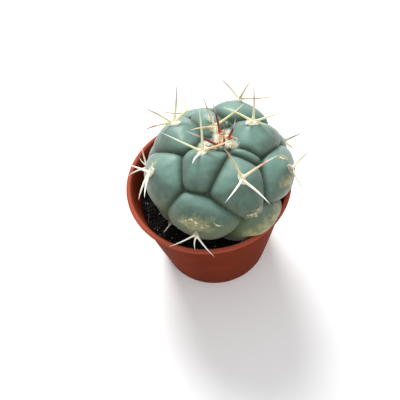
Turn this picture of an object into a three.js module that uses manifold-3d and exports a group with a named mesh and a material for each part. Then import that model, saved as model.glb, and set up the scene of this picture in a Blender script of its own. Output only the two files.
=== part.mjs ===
import * as THREE from "three";
import { mergeVertices } from "three/addons/utils/BufferGeometryUtils.js";
import Module from "manifold-3d";

// A small globe cactus in a round plastic pot. Millimetres, +Z up.
// The origin is the middle of the pot's flat foot, which stands on the surface.

const wasm = await Module();
wasm.setup();

// Driving dimensions
const GAP = 0.3;

const POT = {
  height: 50,
  rimRadius: 35,
  footRadius: 25.2,
  wall: 1.2,
  floor: 1.6,
  lipWidth: 1.9,
  lipHeight: 1.7,
  lipOverhang: 1.3,
  drainRadius: 2.6,
  drainCircle: 17,
  drains: 6,
};

const SOIL = {
  below: 11,
  lump: 0.9,
  heel: 1.5,
  rings: 9,
  waves: 7,
};

// How many flat sides each turned piece has
const SIDES = { pot: 64, drain: 16, soil: 48, wool: 16, pad: 10, spine: 5 };

// The stem's centre is given from the middle of the pot's rim, its lean in degrees
// towards +X and +Y, and the crease floor as a globe's radius, rise and drop
const STEM = {
  centre: [4.8, -0.4, 7.2],
  lean: [1, 5.5],
  creaseRadius: 26.7,
  creaseRise: 17.2,
  creaseDrop: 23,
  crownSink: 3.2,
  crownSpread: 17,
  rootLength: 4,
  rootFrom: 135,
  rimClearance: 0.4,
  rimFlare: 2.2,
  detail: 19,
  snap: 0.5,
};

// A tubercle's height, how far in its shoulder ends, and the nose under its areole.
// Tubercles are low near the crown, where they are young, and under the soil
const TUBERCLE = {
  height: 4.3,
  shoulder: 8,
  roundness: 1.9,
  creaseSoftness: 0.9,
  nose: 0.9,
  noseWidth: 4.5,
  young: { share: 0.3, from: 6, to: 28 },
  old: { share: 0.65, from: 112, to: 145 },
  middle: 2,
};

// Tubercles follow a spiral: each is one golden turn on and one step further down
const SPIRAL = { start: 10.5, turn: 136.4, polar: 29.6, step: 8.05 };
const YOUNGEST = -6;
const OLDEST = 14;

// Where a tubercle grew off the spiral: its body and its areole, in whole degrees
// of azimuth and polar angle
const SHIFTED_BODY = {
  "-6": [-35, -6],
  "-5": [-58, 6],
  "-3": [-6, 23],
  "-2": [2, 7],
  "-1": [13, 7],
  0: [-5, 3],
  1: [8, -5],
  2: [-2, -4],
  3: [-9, -10],
  4: [1, -2],
  5: [2, 2],
  6: [-10, 14],
  7: [1, 4],
  8: [8, 12],
  9: [-6, 12],
  10: [8, 12],
  12: [-20, 8],
};
const SHIFTED_AREOLE = {
  "-2": [-12, 0],
  0: [1, 1],
  1: [-1, -1],
  2: [3, 1],
  7: [1, 8],
};

// How hard the neighbours press on a tubercle, in square millimetres: a pressed one is small
const PRESSED = { "-6": 70, "-5": 70, "-4": 50, "-3": 75, "-2": 35, 0: -30 };

// Two tubercles that have grown together, and how softly they run into each other
const GROWN_TOGETHER = [2, 10];
const JOIN_SOFTNESS = 3;

// Tubercles that stand further out than the rest, in millimetres
const TALLER = { 3: 1.2, 10: 2 };

// Spines of each areole: the way they point round the areole (0 is towards the crown),
// how far they lean from upright, both in degrees, and their length
const SPINES = {
  "-2": [[155, 46, 13.5], [71, 71, 10], [-113, 65, 14]],
  "-1": [[-101, 64, 16], [-28, 34, 16.5], [61, 69, 12], [176, 80, 6.5]],
  0: [[85, 32, 14.5], [36, 84, 11.5], [-161, 57, 13.5], [-45, 80, 4.5], [-137, 79, 4.5]],
  1: [[-74, 37, 15.5], [159, 39, 13], [-41, 77, 8.5], [134, 76, 12]],
  2: [[-16, 72, 12], [80, 65, 14.5], [-119, 71, 11.5], [159, 71, 12.5]],
  3: [[71, 56, 13], [-53, 32, 9.5], [-102, 75, 14], [-18, 68, 5]],
  4: [[-113, 43, 9], [144, 78, 10], [115, 72, 10.5], [0, 64, 4]],
  5: [[84, 48, 9.5], [-138, 70, 11]],
  6: [[-90, 31, 9.5], [99, 57, 10]],
  7: [[-109, 61, 10.5], [-178, 65, 6], [122, 63, 10]],
  8: [[136, 9, 10], [118, 61, 10.5], [-175, 51, 8]],
  9: [[-52, 73, 10], [-31, 57, 4.5], [72, 48, 8.5]],
  12: [[23, 21, 4.5]],
};

// The pads of felt are longest on the young areoles, and wear down on the older ones: each
// share holds from that tubercle on
const PAD = { across: 1.6, along: 3, height: 1.15, root: 0.6, rootShare: 0.85 };
const PAD_SHARES = [[-2, 0.85], [-1, 1], [2, 0.72], [6, 0.55]];
const SPINE = {
  radius: 0.55,
  steps: 4,
  root: 0.9,
  bend: 1.8,
  shortUnder: 6,
  shortShare: 0.65,
  footAcross: 0.5,
  footAlong: 1.4,
  footUp: 0.5,
};

// The crown's spines also have the place of their foot, across and along its wool
const CROWN = {
  azimuth: -5,
  polar: 5,
  across: 4.4,
  along: 3,
  height: 1.4,
  root: 2.5,
  rootShare: 0.9,
};
const CROWN_SPINES = [
  [63, 26, 15.5, 2.8, 0.4],
  [-4, 52, 14.5, -3.2, 1.8],
  [172, 17, 9.5, 0.1, -2.5],
  [-126, 64, 7, 1.4, -2],
  [-82, 16, 8.5, -3.7, -0.4],
];

const FINISH = {
  terracotta: { color: 0xb4573f, roughness: 0.5, metalness: 0 },
  peat: { color: 0x17120f, roughness: 0.95, metalness: 0 },
  skin: { color: 0x7fa394, roughness: 0.6, metalness: 0 },
  horn: { color: 0xe6dcae, roughness: 0.55, metalness: 0 },
  wool: { color: 0xe4dfcf, roughness: 0.95, metalness: 0 },
};

// Small helpers
const radians = THREE.MathUtils.degToRad;
const smooth = THREE.MathUtils.smoothstep;

function seededRandom(seed) {
  let state = seed;
  return () => {
    state = (state * 1664525 + 1013904223) % 4294967296;
    return state / 4294967296;
  };
}

function toSolid(geometry) {
  const bare = geometry.clone();
  bare.deleteAttribute("normal");
  bare.deleteAttribute("uv");
  const merged = mergeVertices(bare, 1e-4);
  return new wasm.Manifold(
    new wasm.Mesh({
      numProp: 3,
      vertProperties: new Float32Array(merged.attributes.position.array),
      triVerts: new Uint32Array(merged.index.array),
    }),
  );
}

function toGeometry(solid) {
  const mesh = solid.getMesh();
  const geometry = new THREE.BufferGeometry();
  geometry.setAttribute("position", new THREE.BufferAttribute(mesh.vertProperties, 3));
  geometry.setIndex(new THREE.BufferAttribute(mesh.triVerts, 1));
  geometry.computeVertexNormals();
  return geometry;
}

function moveEach(geometry, move) {
  const place = geometry.attributes.position;
  const point = new THREE.Vector3();
  for (let i = 0; i < place.count; i += 1) {
    point.fromBufferAttribute(place, i);
    move(point);
    place.setXYZ(i, point.x, point.y, point.z);
  }
  return geometry;
}

function piece(name, solid, finish) {
  const mesh = new THREE.Mesh(toGeometry(solid), new THREE.MeshStandardMaterial(finish));
  mesh.name = name;
  return mesh;
}

// A lathe profile turned round +Z
function turned(profile, sides) {
  const points = profile.map(([radius, z]) => new THREE.Vector2(radius, z));
  return new THREE.LatheGeometry(points, sides).rotateX(Math.PI / 2);
}

// Pot: one moulding with a tapered wall, a rounded lip standing out from it and a flat foot
const wallTopRadius = POT.rimRadius - POT.lipOverhang;

function outerRadius(z) {
  return THREE.MathUtils.lerp(POT.footRadius, wallTopRadius, z / POT.height);
}

function innerRadius(z) {
  return outerRadius(z) - POT.wall;
}

function arc(centre, radius, from, to, steps) {
  return Array.from({ length: steps + 1 }, (_, i) => {
    const angle = radians(THREE.MathUtils.lerp(from, to, i / steps));
    return [centre[0] + radius * Math.cos(angle), centre[1] + radius * Math.sin(angle)];
  });
}

function potSolid() {
  const lipBottom = POT.height - POT.lipHeight;
  const bead = POT.lipHeight / 2;
  const innerEdge = 0.5;
  const footEdge = 0.8;
  const profile = [
    [0, 0],
    [POT.footRadius - footEdge, 0],
    [POT.footRadius, footEdge],
    [outerRadius(lipBottom), lipBottom],
    ...arc([POT.rimRadius - bead, POT.height - bead], bead, -60, 90, 5),
    ...arc([POT.rimRadius - POT.lipWidth + innerEdge, POT.height - innerEdge], innerEdge, 90, 180, 2),
    [innerRadius(lipBottom), lipBottom],
    [innerRadius(POT.floor + SOIL.heel), POT.floor + SOIL.heel],
    [innerRadius(POT.floor) - SOIL.heel, POT.floor],
    [0, POT.floor],
  ];
  let pot = toSolid(turned(profile, SIDES.pot));
  const drillLength = POT.floor * 4;
  for (let i = 0; i < POT.drains; i += 1) {
    const angle = (i / POT.drains) * Math.PI * 2;
    const drill = new THREE.CylinderGeometry(POT.drainRadius, POT.drainRadius, drillLength, SIDES.drain);
    drill.rotateX(Math.PI / 2);
    drill.translate(POT.drainCircle * Math.cos(angle), POT.drainCircle * Math.sin(angle), 0);
    pot = pot.subtract(toSolid(drill));
  }
  return pot;
}

// Stem: a flattened globe that leans a little, whose surface is the crease floor raised
// by a pillow over each tubercle
const stemUp = new THREE.Vector3(
  Math.tan(radians(STEM.lean[0])),
  Math.tan(radians(STEM.lean[1])),
  1,
).normalize();
const stemSide = new THREE.Vector3(0, 1, 0).cross(stemUp).normalize();
const stemBack = new THREE.Vector3().crossVectors(stemUp, stemSide);
const stemFrame = new THREE.Matrix4().makeBasis(stemSide, stemBack, stemUp);
stemFrame.setPosition(STEM.centre[0], STEM.centre[1], STEM.centre[2] + POT.height);

function globePoint(azimuth, polar, raise = 0) {
  const height = polar < 90 ? STEM.creaseRise : STEM.creaseDrop;
  const across = (STEM.creaseRadius + raise) * Math.sin(radians(polar));
  return new THREE.Vector3(
    across * Math.cos(radians(azimuth)),
    across * Math.sin(radians(azimuth)),
    (height + raise) * Math.cos(radians(polar)),
  );
}

function globeNormal(azimuth, polar) {
  const height = polar < 90 ? STEM.creaseRise : STEM.creaseDrop;
  const across = Math.sin(radians(polar)) / STEM.creaseRadius;
  return new THREE.Vector3(
    across * Math.cos(radians(azimuth)),
    across * Math.sin(radians(azimuth)),
    Math.cos(radians(polar)) / height,
  ).normalize();
}

function onSpiral(n, shifts) {
  const [turn, down] = shifts[n] ?? [0, 0];
  return [
    SPIRAL.start + SPIRAL.turn * n + turn,
    SPIRAL.polar + SPIRAL.step * n + down,
  ];
}

const tubercles = [];
for (let n = YOUNGEST; n <= OLDEST; n += 1) {
  tubercles.push({
    n,
    body: globePoint(...onSpiral(n, SHIFTED_BODY), TUBERCLE.middle),
    pressed: PRESSED[n] ?? 0,
    areole: globePoint(...onSpiral(n, SHIFTED_AREOLE), TUBERCLE.middle),
  });
}

// How far a point lies inside one tubercle, from its nearest crease with a neighbour
function fromCreases(squared, own, left) {
  const softness = TUBERCLE.creaseSoftness;
  let sum = 0;
  tubercles.forEach((t, i) => {
    if (i !== own && !left.includes(t.n)) {
      const apart = t.body.distanceTo(tubercles[own].body);
      sum += Math.exp(-(squared[i] - squared[own]) / (2 * apart * softness));
    }
  });
  return -softness * Math.log(sum);
}

// The same for the tubercle that the point is on, and how far in it would be had none grown
// together. Where two have, no crease parts them: the one that the point is further inside
// counts, with a soft waist between them
function insideTubercle(point) {
  const squared = tubercles.map((t) => t.body.distanceToSquared(point) + t.pressed);
  const own = squared.indexOf(Math.min(...squared));
  const alone = Math.max(0, fromCreases(squared, own, []));
  if (!GROWN_TOGETHER.includes(tubercles[own].n)) return [alone, tubercles[own], alone];
  const both = GROWN_TOGETHER.map((n) => fromCreases(squared, n - YOUNGEST, GROWN_TOGETHER));
  const [less, more] = both.sort((a, b) => a - b);
  const waist = JOIN_SOFTNESS * Math.log1p(Math.exp((less - more) / JOIN_SOFTNESS));
  const joined = more + waist * smooth(less, 0, JOIN_SOFTNESS);
  return [Math.max(0, joined), tubercles[own], alone];
}

// How high a pillow stands there, from 0 in its crease to 1 on its top
function bulge(inside) {
  const { shoulder, roundness } = TUBERCLE;
  return (1 - (1 - Math.min(inside / shoulder, 1)) ** roundness) ** (1 / roundness);
}

function pillow(azimuth, polar) {
  const { shoulder, young, old } = TUBERCLE;
  const point = globePoint(azimuth, polar, TUBERCLE.middle);
  const [inside, own, alone] = insideTubercle(point);
  const height = TUBERCLE.height * bulge(inside) + (TALLER[own.n] ?? 0) * bulge(alone);
  const toAreole = own.areole.distanceTo(point) / TUBERCLE.noseWidth;
  const reach = Math.min(inside / shoulder, 1);
  const nose = TUBERCLE.nose * Math.exp(-(toAreole ** 2)) * Math.sqrt(reach);
  const grown = THREE.MathUtils.lerp(young.share, 1, smooth(polar, young.from, young.to));
  const left = THREE.MathUtils.lerp(1, old.share, smooth(polar, old.from, old.to));
  return (height + nose) * grown * left;
}

// A point of the stem's surface, grown outwards where a neighbour needs clearance
function stemPoint(azimuth, polar, grow = 0) {
  const sink = STEM.crownSink * Math.exp(-((polar / STEM.crownSpread) ** 2));
  const raise = pillow(azimuth, polar) - sink + grow;
  const point = globePoint(azimuth, polar);
  point.addScaledVector(globeNormal(azimuth, polar), raise);
  point.z -= STEM.rootLength * smooth(polar, STEM.rootFrom, 180);
  point.applyMatrix4(stemFrame);
  return besideRim(point, grow);
}

// The swollen side presses against the pot's rim and is flattened by it
function besideRim(point, grow) {
  const softness = 0.35;
  const above = Math.max(0, point.z - POT.height - 0.5);
  const wall = innerRadius(Math.min(point.z, POT.height));
  const limit = wall - STEM.rimClearance + grow * 0.5 + STEM.rimFlare * above;
  const radius = Math.hypot(point.x, point.y);
  const room = (limit - radius) / softness;
  const held = limit - softness * (room > 30 ? room : Math.log1p(Math.exp(room)));
  point.x *= held / radius;
  point.y *= held / radius;
  return point;
}

// A mesh corner that lies close to a crease is slid into it, so that creases stay crisp
function intoCrease(azimuth, polar) {
  const inside = (a, p) => insideTubercle(globePoint(a, p, TUBERCLE.middle))[0];
  const depth = inside(azimuth, polar);
  const nearPole = Math.sin(radians(polar)) < 0.03;
  if (depth > STEM.snap || nearPole) return [azimuth, polar];
  const step = 0.2;
  const size = radians(STEM.creaseRadius);
  const round = size * Math.sin(radians(polar));
  const across = (inside(azimuth + step, polar) - depth) / (step * round);
  const down = (inside(azimuth, polar + step) - depth) / (step * size);
  const slope = across ** 2 + down ** 2;
  if (slope < 0.2) return [azimuth, polar];
  return [
    azimuth - (depth * across) / slope / round,
    polar - (depth * down) / slope / size,
  ];
}

// Most of the globe's faces are drawn up to the part above the soil
function stemSolid(grow) {
  const shown = 122;
  const facesShown = 150;
  const globe = new THREE.IcosahedronGeometry(1, STEM.detail);
  moveEach(globe, (point) => {
    const polar = THREE.MathUtils.radToDeg(Math.acos(THREE.MathUtils.clamp(point.z, -1, 1)));
    const azimuth = THREE.MathUtils.radToDeg(Math.atan2(point.y, point.x));
    const buried = (polar - facesShown) / (180 - facesShown);
    const spread = buried < 0 ? (polar * shown) / facesShown : shown + (180 - shown) * buried;
    point.copy(stemPoint(...intoCrease(azimuth, spread), grow));
  });
  return toSolid(globe);
}

// Areole frame: its place on the skin, the way out, towards the crown and round
function areoleFrame(azimuth, polar) {
  const place = stemPoint(azimuth, polar);
  const round = stemPoint(azimuth + 0.5, polar).sub(place);
  const down = stemPoint(azimuth, polar + 0.5).sub(place);
  const out = globeNormal(azimuth, polar).transformDirection(stemFrame);
  const measured = new THREE.Vector3().crossVectors(down, round).normalize();
  out.lerp(measured, 0.35).normalize();
  const up = down.negate().projectOnPlane(out).normalize();
  const side = new THREE.Vector3().crossVectors(up, out).negate().normalize();
  if (side.dot(round) < 0) side.negate();
  return { place, out, up, side };
}

function spineSolid(length, thickness) {
  const profile = [[0, -SPINE.root], [thickness, -SPINE.root]];
  for (let i = 1; i < SPINE.steps; i += 1) {
    const along = i / SPINE.steps;
    profile.push([thickness * (1 - 0.85 * along ** 1.4), length * along]);
  }
  profile.push([0, length]);
  const spine = turned(profile, SIDES.spine);
  moveEach(spine, (point) => {
    const along = Math.max(0, point.z / length);
    point.x += SPINE.bend * (along - along ** 2);
  });
  return spine;
}

function spinesOn(frame, list, seed) {
  const random = seededRandom(seed);
  return list.map(([clock, lean, length, footAcross, footAlong]) => {
    const aside = new THREE.Vector3();
    aside.addScaledVector(frame.up, Math.sin(radians(lean)) * Math.cos(radians(clock)));
    aside.addScaledVector(frame.side, Math.sin(radians(lean)) * Math.sin(radians(clock)));
    const share = length < SPINE.shortUnder ? SPINE.shortShare : 1;
    const spine = spineSolid(length, SPINE.radius * share * (0.9 + 0.2 * random()));
    spine.rotateZ(random() * Math.PI * 2);
    const way = frame.out.clone().multiplyScalar(Math.cos(radians(lean))).add(aside);
    const turn = new THREE.Quaternion().setFromUnitVectors(new THREE.Vector3(0, 0, 1), way);
    spine.applyQuaternion(turn);
    const foot = frame.place.clone().addScaledVector(frame.out, GAP + PAD.height * 0.55);
    foot.addScaledVector(frame.up, footAlong ?? SPINE.footAlong * aside.dot(frame.up));
    foot.addScaledVector(frame.side, footAcross ?? SPINE.footAcross * aside.dot(frame.side));
    foot.addScaledVector(way, SPINE.footUp);
    spine.translate(foot.x, foot.y, foot.z);
    return toSolid(spine);
  });
}

// A domed cushion with a root below it, one millimetre in radius
function cushion({ root, rootShare, height }, turns, sides) {
  const dome = turns.map((turn) => [
    Math.cos(radians(turn)),
    height * Math.sin(radians(turn)),
  ]);
  return turned([[0, -root], [rootShare, -root], ...dome, [0, height]], sides);
}

function seatedOn(frame, geometry) {
  const along = frame.out.clone().cross(frame.side);
  const basis = new THREE.Matrix4().makeBasis(frame.side, along, frame.out);
  basis.setPosition(frame.place.clone().addScaledVector(frame.out, GAP));
  return toSolid(geometry.applyMatrix4(basis));
}

// The stem grown by the clearance, which the pieces seated on it are cut by
const grownStem = stemSolid(GAP);

function areoleSolid(n) {
  const frame = areoleFrame(...onSpiral(n, SHIFTED_AREOLE));
  const [, share] = PAD_SHARES.findLast(([from]) => n >= from);
  const pad = cushion(PAD, [0, 30, 60], SIDES.pad);
  pad.scale(PAD.across * share, PAD.along * share, 1);
  const parts = [seatedOn(frame, pad), ...spinesOn(frame, SPINES[n], 40 + n)];
  return wasm.Manifold.union(parts).subtract(grownStem);
}

// Crown: a lumpy mound of wool in the hollow tip, with the youngest spines in it
function crownSolid() {
  const frame = areoleFrame(CROWN.azimuth, CROWN.polar);
  const wool = cushion(CROWN, [0, 22, 45, 68], SIDES.wool);
  moveEach(wool, (point) => {
    const around = Math.atan2(point.y, point.x);
    const swell = 1 + 0.14 * Math.sin(3 * around + 1) + 0.1 * Math.sin(5 * around);
    point.x *= swell * CROWN.across;
    point.y *= swell * CROWN.along;
    point.z += point.z > 0.3 ? 0.3 * Math.sin(2.1 * point.x) * Math.cos(1.8 * point.y) : 0;
  });
  const parts = [seatedOn(frame, wool), ...spinesOn(frame, CROWN_SPINES, 7)];
  return wasm.Manifold.union(parts).subtract(grownStem);
}

// Soil: fills the pot up to its lumpy top, with a hollow that the stem sits in
function soilSolid() {
  const top = POT.height - SOIL.below;
  const edge = innerRadius(top - SOIL.lump) - GAP;
  const profile = [
    [0, POT.floor + GAP],
    [innerRadius(POT.floor) - SOIL.heel - GAP, POT.floor + GAP],
    [innerRadius(POT.floor + SOIL.heel) - GAP, POT.floor + SOIL.heel + GAP],
    [edge, top],
  ];
  for (let i = 1; i < SOIL.rings; i += 1) {
    profile.push([edge * (1 - i / SOIL.rings), top]);
  }
  profile.push([0, top]);
  const soil = turned(profile, SIDES.soil);
  const random = seededRandom(11);
  const waves = Array.from({ length: SOIL.waves }, () => {
    const heading = random() * Math.PI * 2;
    const pace = (Math.PI * 2) / (5 + 6 * random());
    return [Math.cos(heading) * pace, Math.sin(heading) * pace, random() * 6];
  });
  moveEach(soil, (point) => {
    if (point.z > top - 0.01) {
      for (const [x, y, phase] of waves) {
        point.z += (SOIL.lump / 3) * Math.sin(point.x * x + point.y * y + phase);
      }
    }
  });
  return toSolid(soil).subtract(grownStem);
}

const cactus = new THREE.Group();
cactus.add(piece("pot", potSolid(), FINISH.terracotta));
cactus.add(piece("soil", soilSolid(), FINISH.peat));
cactus.add(piece("stem", stemSolid(0), FINISH.skin));
cactus.add(piece("crown", crownSolid(), FINISH.wool));
const bearing = Object.keys(SPINES).map(Number).sort((a, b) => a - b);
bearing.forEach((n, i) => {
  const name = `areole_${String(i + 1).padStart(2, "0")}`;
  cactus.add(piece(name, areoleSolid(n), FINISH.horn));
});

export default cactus;
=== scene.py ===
import functools
import math
import random

import bmesh
import bpy
import numpy as np
from mathutils import Matrix, Vector
from mathutils.bvhtree import BVHTree
from mathutils.noise import noise


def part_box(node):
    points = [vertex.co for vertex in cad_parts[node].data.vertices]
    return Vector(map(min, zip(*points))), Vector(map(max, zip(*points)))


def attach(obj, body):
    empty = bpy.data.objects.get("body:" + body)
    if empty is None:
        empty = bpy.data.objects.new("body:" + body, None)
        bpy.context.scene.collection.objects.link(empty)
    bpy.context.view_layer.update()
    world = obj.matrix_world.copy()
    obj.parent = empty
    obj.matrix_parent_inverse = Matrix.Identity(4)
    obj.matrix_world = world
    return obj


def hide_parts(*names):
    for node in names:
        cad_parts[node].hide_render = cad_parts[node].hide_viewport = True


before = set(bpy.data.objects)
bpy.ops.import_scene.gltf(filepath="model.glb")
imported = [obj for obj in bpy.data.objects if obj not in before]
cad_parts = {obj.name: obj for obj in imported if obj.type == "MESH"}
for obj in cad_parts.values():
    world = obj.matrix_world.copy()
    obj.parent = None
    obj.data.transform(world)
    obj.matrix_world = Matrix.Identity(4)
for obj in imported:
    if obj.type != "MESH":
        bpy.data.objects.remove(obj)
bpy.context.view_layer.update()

# The camera looks down on the plant from the front and is turned a little on its own axis.
# Its place follows from how the pot's rim lies in the picture, 400 pixels on a side.
MM = 0.001
picture_side = 400
focal_pixels = 521
rim_centre = Vector((0, 0, 50 * MM))
rim_pixel = (207.9, 179.3)
camera_distance = 220 * MM
camera_elevation = math.radians(56.3)
camera_roll = math.radians(-9.0)

back = Vector((0, -math.cos(camera_elevation), math.sin(camera_elevation)))
level = Vector((1, 0, 0))
right = level * math.cos(camera_roll) + back.cross(level) * math.sin(camera_roll)
upright = back.cross(right)
pixel = camera_distance / focal_pixels
camera_data = bpy.data.cameras.new("camera")
camera_data.sensor_width = 36
camera_data.lens = camera_data.sensor_width * focal_pixels / picture_side
camera_data.clip_start = 10 * MM
camera_data.clip_end = 10
camera = bpy.data.objects.new("camera", camera_data)
camera.matrix_world = Matrix((right, upright, back)).transposed().to_4x4()
camera.location = (
    rim_centre
    + back * camera_distance
    - right * (rim_pixel[0] - picture_side / 2) * pixel
    - upright * (picture_side / 2 - rim_pixel[1]) * pixel
)
bpy.context.scene.collection.objects.link(camera)
bpy.context.scene.camera = camera


# The pot is one thin moulding of terracotta brown polypropylene, with a tapered wall and a
# beaded lip. It is shot through one gate under its floor, and six drain holes are left open.
POT_SIDES = 160
_, pot_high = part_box("pot")
pot_height = pot_high.z / MM
rim_radius = pot_high.x / MM
foot_radius = 25.2
pot_wall = 1.2
pot_floor = 1.6
lip_height = 1.7
lip_width = 1.9
lip_overhang = 1.3
drain_radius = 2.6
drain_circle = 17
drain_count = 6
wall_slope = (rim_radius - lip_overhang - foot_radius) / pot_height


def wall_radius(z):
    return foot_radius + wall_slope * z


def round_edge(profile, x, z, radius, start, end, steps):
    """Adds an arc about (x, z) to a profile, from one angle in degrees to another."""
    for i in range(steps + 1):
        angle = math.radians(start + (end - start) * i / steps)
        profile.append((x + radius * math.cos(angle), z + radius * math.sin(angle)))


def turned(profile, sides):
    """A profile in millimetres spun round +Z into a closed bmesh."""
    bm = bmesh.new()
    corners = [bm.verts.new((x * MM, 0, z * MM)) for x, z in profile]
    for first, second in zip(corners, corners[1:]):
        bm.edges.new((first, second))
    bmesh.ops.spin(
        bm,
        geom=bm.verts[:] + bm.edges[:],
        cent=(0, 0, 0),
        axis=(0, 0, 1),
        angle=2 * math.pi,
        steps=sides,
        use_merge=True,
    )
    bmesh.ops.remove_doubles(bm, verts=bm.verts, dist=0.001 * MM)
    bmesh.ops.recalc_face_normals(bm, faces=bm.faces)
    return bm


def to_piece(bm, name, *materials):
    """A smooth object with the bmesh as its mesh, at the origin."""
    mesh = bpy.data.meshes.new(name)
    bm.to_mesh(mesh)
    bm.free()
    mesh.shade_smooth()
    for material in materials:
        mesh.materials.append(material)
    piece = bpy.data.objects.new(name, mesh)
    bpy.context.scene.collection.objects.link(piece)
    return piece


def linear(hex_colour):
    """An sRGB hex colour as the linear colour that a shader takes."""
    parts = [int(hex_colour[i : i + 2], 16) / 255 for i in (1, 3, 5)]
    return (*[p / 12.92 if p <= 0.04045 else ((p + 0.055) / 1.055) ** 2.4 for p in parts], 1)


def socket_of(sockets, name):
    """A node's socket by its name, or by its identifier where several share one name."""
    return next(s for s in sockets if name in (s.identifier, s.name.replace(" ", "_")))


def add_node(tree, kind, settings=None, stops=(), **inputs):
    """Adds a node with its settings and a ramp's stops. An input takes a value or a link: a node
    for its first output, or (node, output)."""
    node = tree.nodes.new("ShaderNode" + kind)
    for name, value in (settings or {}).items():
        setattr(node, name, value)
    for i, (position, colour) in enumerate(stops):
        elements = node.color_ramp.elements
        element = elements[i] if i < 2 else elements.new(position)
        element.position = position
        element.color = linear(colour) if isinstance(colour, str) else (colour, colour, colour, 1)
    for name, value in inputs.items():
        socket = socket_of(node.inputs, name)
        source = value[0] if isinstance(value, tuple) else value
        if not isinstance(source, bpy.types.Node):
            socket.default_value = value
        elif source is value:
            tree.links.new(source.outputs[0], socket)
        else:
            tree.links.new(socket_of(source.outputs, value[1]), socket)
    return node


def new_material(name):
    """A material without nodes, and the function that adds its nodes one by one."""
    material = bpy.data.materials.new(name)
    material.use_nodes = True
    material.node_tree.nodes.clear()
    return material, functools.partial(add_node, material.node_tree)


def pot_polypropylene():
    # Terracotta brown polypropylene, injection moulded: satin, with a faint orange peel, a
    # paler lip that is rubbed and also painted lighter as a highlight on its bead, and dull
    # scuffs.
    # Its gloss is low, so the colour stays deep.
    material, add = new_material("pot_polypropylene")
    place = (add("TexCoord"), "Object")
    patches = add("TexNoise", Vector=place, Scale=1 / (14 * MM), Detail=4, Roughness=0.6)
    specks = add("TexNoise", Vector=place, Scale=1 / (1.1 * MM), Detail=3, Roughness=0.7)
    peel = add("TexNoise", Vector=place, Scale=1 / (0.5 * MM), Detail=2)
    body = add("ValToRGB", stops=[(0.3, "#6C2B18"), (0.7, "#7C3420")], Fac=patches)
    # Painted highlight: the top of the lip is painted paler, partly rubbed wear and partly the
    # shine of its bead
    lip_wear_and_highlight = add(
        "MapRange",
        Value=(add("SeparateXYZ", Vector=place), "Z"),
        From_Min=(pot_height - lip_height - 0.3) * MM,
        From_Max=(pot_height - 0.4) * MM,
    )
    # The lip's paler colour: rubbed wear and a painted highlight together
    rubbed = add(
        "Mix",
        {"data_type": "RGBA"},
        Factor_Float=lip_wear_and_highlight,
        A_Color=body,
        B_Color=linear("#A24F3D"),
    )
    scuffs = add("ValToRGB", stops=[(0.62, 0.0), (0.8, 0.16)], Fac=specks)
    scuffed = add(
        "Mix",
        {"data_type": "RGBA"},
        Factor_Float=scuffs,
        A_Color=(rubbed, "Result_Color"),
        B_Color=linear("#B98A77"),
    )
    gloss = add("ValToRGB", stops=[(0.3, 0.42), (0.75, 0.55)], Fac=patches)
    bump = add("Bump", Strength=0.15, Distance=0.04 * MM, Height=peel)
    shader = add(
        "BsdfPrincipled",
        Base_Color=(scuffed, "Result_Color"),
        Roughness=gloss,
        IOR=1.49,
        Specular_IOR_Level=0.004,
        Normal=bump,
    )
    add("OutputMaterial", Surface=shader)
    return material


def moulded_pot():
    bead = lip_height / 2
    lip_bottom = pot_height - lip_height
    foot_edge = 0.8
    inner_edge = 0.5
    heel = 1.5
    # From the dimple that the gate has left in the middle of the foot, out and up
    profile = [(0, 0.25), (1.6, 0.25), (1.8, 0)]
    round_edge(profile, foot_radius - foot_edge, foot_edge, foot_edge, -90, -10, 4)
    for z in (20, 35, lip_bottom - 0.5):
        profile.append((wall_radius(z), z))
    round_edge(profile, rim_radius - bead, pot_height - bead, bead, -70, 90, 10)
    inner_x = rim_radius - lip_width + inner_edge
    round_edge(profile, inner_x, pot_height - inner_edge, inner_edge, 90, 180, 4)
    for z in (lip_bottom - 0.4, 35, 20, pot_floor + heel + 1):
        profile.append((wall_radius(z) - pot_wall, z))
    floor_radius = wall_radius(pot_floor) - pot_wall
    round_edge(profile, floor_radius - heel, pot_floor + heel, heel, 0, -90, 5)
    profile.append((0, pot_floor))
    pot = to_piece(turned(profile, POT_SIDES), "pot_moulding", pot_polypropylene())

    drills = bmesh.new()
    for i in range(drain_count):
        angle = 2 * math.pi * i / drain_count
        centre = Vector((drain_circle * math.cos(angle), drain_circle * math.sin(angle), 0)) * MM
        bmesh.ops.create_cone(
            drills,
            cap_ends=True,
            segments=40,
            radius1=drain_radius * MM,
            radius2=drain_radius * MM,
            depth=4 * pot_floor * MM,
            matrix=Matrix.Translation(centre),
        )
    drill = to_piece(drills, "drill")
    cut = pot.modifiers.new("drains", "BOOLEAN")
    cut.operation = "DIFFERENCE"
    cut.object = drill
    cut.solver = "EXACT"
    drilled = bpy.data.meshes.new_from_object(
        pot.evaluated_get(bpy.context.evaluated_depsgraph_get())
    )
    pot.modifiers.clear()
    pot.data = drilled
    bpy.data.objects.remove(drill)
    sharp = pot.modifiers.new("crisp_drains", "EDGE_SPLIT")
    sharp.split_angle = math.radians(50)
    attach(pot, "root")
    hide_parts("pot")


moulded_pot()


# The stem is a flattened globe of water-filled tissue, in one piece. Its tubercles follow a
# spiral of about 136 degrees a step and press against each other, so that only creases part
# them. The skin is a tough cuticle with a blue-grey bloom of wax, scarred by cork.
stem_centre = np.array([4.8, -0.4, 57.2])
stem_lean = (1, 5.5)
crease_radius = 26.7
crease_rise = 17.2
crease_drop = 23
crown_sink = 3.2
crown_spread = 17
root_length = 4
root_from = 135
rim_clearance = 0.4
rim_flare = 2.2
rim_softness = 0.35

tubercle_height = 4.3
tubercle_shoulder = 8
tubercle_roundness = 1.9
crease_softness = 0.9
nose_height = 0.9
nose_width = 4.5
tubercle_middle = 2
# Tubercles are low where they are young and under the soil: how low, and between which
# degrees down from the tip they get there
young_share, young_from, young_to = 0.3, 6, 28
old_share, old_from, old_to = 0.65, 112, 145
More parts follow.
